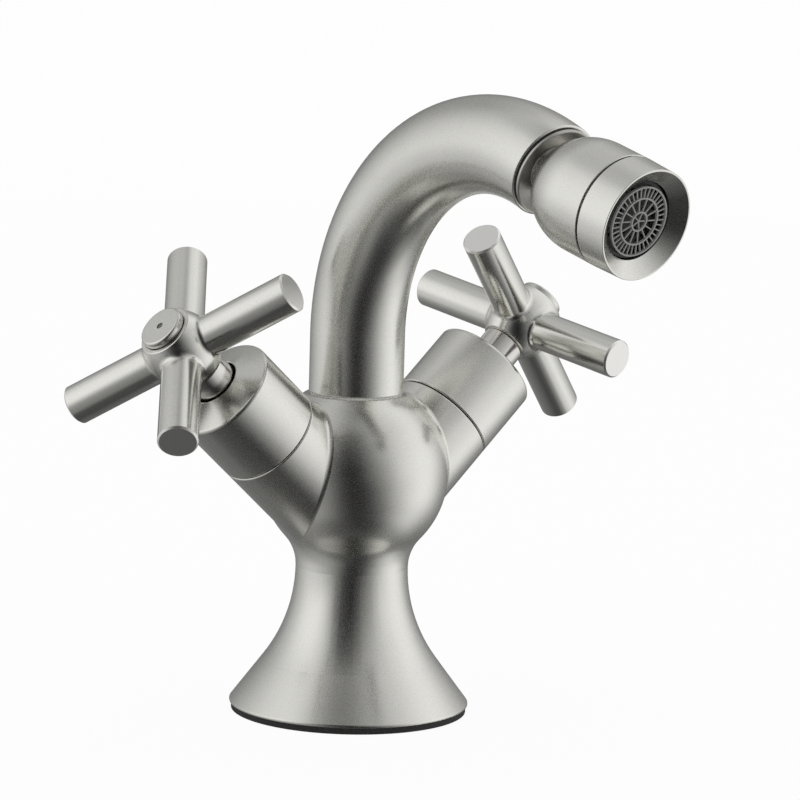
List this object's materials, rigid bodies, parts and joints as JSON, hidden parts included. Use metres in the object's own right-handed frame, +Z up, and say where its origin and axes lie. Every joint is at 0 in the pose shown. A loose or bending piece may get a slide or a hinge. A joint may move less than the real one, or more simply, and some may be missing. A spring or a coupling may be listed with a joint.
{
  "type": "bidet mixer",
  "caption": "Deck-mounted bidet mixer with cross handles on sloping valves, a curved swivel spout and a ball-jointed spray jet.",
  "frame": {"origin": "on the deck's surface, on the axis of the spout's riser", "axes": "+Z up along the riser, -Y to the front where the spout points, +X to the cold valve"},
  "size_m": [0.1539, 0.142, 0.2058],
  "materials": {
    "satin_nickel": "satin nickel plating, fine bead-blasted grain",
    "bright_nickel": "polished nickel plating",
    "bare_brass": "machined",
    "steel": "zinc plated and stainless",
    "rubber": "matt",
    "white_plastic": "matt",
    "dark_plastic": "matt",
    "grey_plastic": "moulded",
    "ceramic": "lapped ceramic",
    "hot_mark": "dark enamel",
    "cold_mark": "dark enamel"
  },
  "bodies": {
    "base": {"mixer_body": "satin_nickel", "spout_lock_screw": "steel", "base_gasket": "rubber", "fixing_stud": "steel", "clamp_rubber": "rubber", "clamp_plate": "steel", "fixing_nut": "steel", "spout_slide_ring": "white_plastic", "hot_seat_seal": "rubber", "hot_fixed_disc": "ceramic", "hot_valve_housing": "bare_brass", "hot_housing_o_ring": "rubber", "hot_valve_sleeve": "satin_nickel", "cold_seat_seal": "rubber", "cold_fixed_disc": "ceramic", "cold_valve_housing": "bare_brass", "cold_housing_o_ring": "rubber", "cold_valve_sleeve": "satin_nickel"},
    "spout": {"spout_tube": "satin_nickel", "spout_bush": "bare_brass", "spout_o_rings": "rubber", "ball_nipple": "satin_nickel", "spout_end_gasket": "rubber"},
    "jet_collar": {"jet_collar": "bright_nickel"},
    "jet": {"jet_housing": "satin_nickel", "rear_ball_seat": "white_plastic", "front_ball_seat": "white_plastic", "jet_sleeve": "satin_nickel", "aerator_washer": "rubber", "aerator_cup": "dark_plastic", "aerator_screen": "steel", "aerator_diffuser": "dark_plastic", "aerator_grille": "grey_plastic"},
    "hot_handle": {"hot_spindle": "bare_brass", "hot_turning_disc": "ceramic", "hot_spindle_o_rings": "rubber", "hot_stop_washer": "steel", "hot_spindle_clip": "steel", "hot_stem_collar": "bright_nickel", "hot_cross_handle": "satin_nickel", "hot_handle_screw": "steel", "hot_handle_cap": "satin_nickel", "hot_cap_mark": "hot_mark"},
    "cold_handle": {"cold_spindle": "bare_brass", "cold_turning_disc": "ceramic", "cold_spindle_o_rings": "rubber", "cold_stop_washer": "steel", "cold_spindle_clip": "steel", "cold_stem_collar": "bright_nickel", "cold_cross_handle": "satin_nickel", "cold_handle_screw": "steel", "cold_handle_cap": "satin_nickel", "cold_cap_mark": "cold_mark"}
  },
  "joints": [
    {"name": "hot_handle_turn", "type": "hinge", "parent": "base", "child": "hot_handle", "pos_m": [0, 0, 0.048], "axis": [-0.7478, 0, 0.6639], "range_deg": [0, 90]},
    {"name": "cold_handle_turn", "type": "hinge", "parent": "base", "child": "cold_handle", "pos_m": [0, 0, 0.048], "axis": [0.7478, 0, 0.6639], "range_deg": [-90, 0]},
    {"name": "spout_swivel", "type": "hinge", "parent": "base", "child": "spout", "pos_m": [0, 0, 0.08], "axis": [0, 0, 1], "range_deg": [-60, 60]},
    {"name": "jet_spin", "type": "hinge", "parent": "spout", "child": "jet_collar", "pos_m": [0, -0.07329, 0.14445], "axis": [0, -0.9171, -0.3987], "continuous": true},
    {"name": "jet_tilt", "type": "hinge", "parent": "jet_collar", "child": "jet", "pos_m": [0, -0.08109, 0.14106], "axis": [-0.9513, -0.1229, 0.2826], "range_deg": [-20.8, 3.2]}
  ]
}
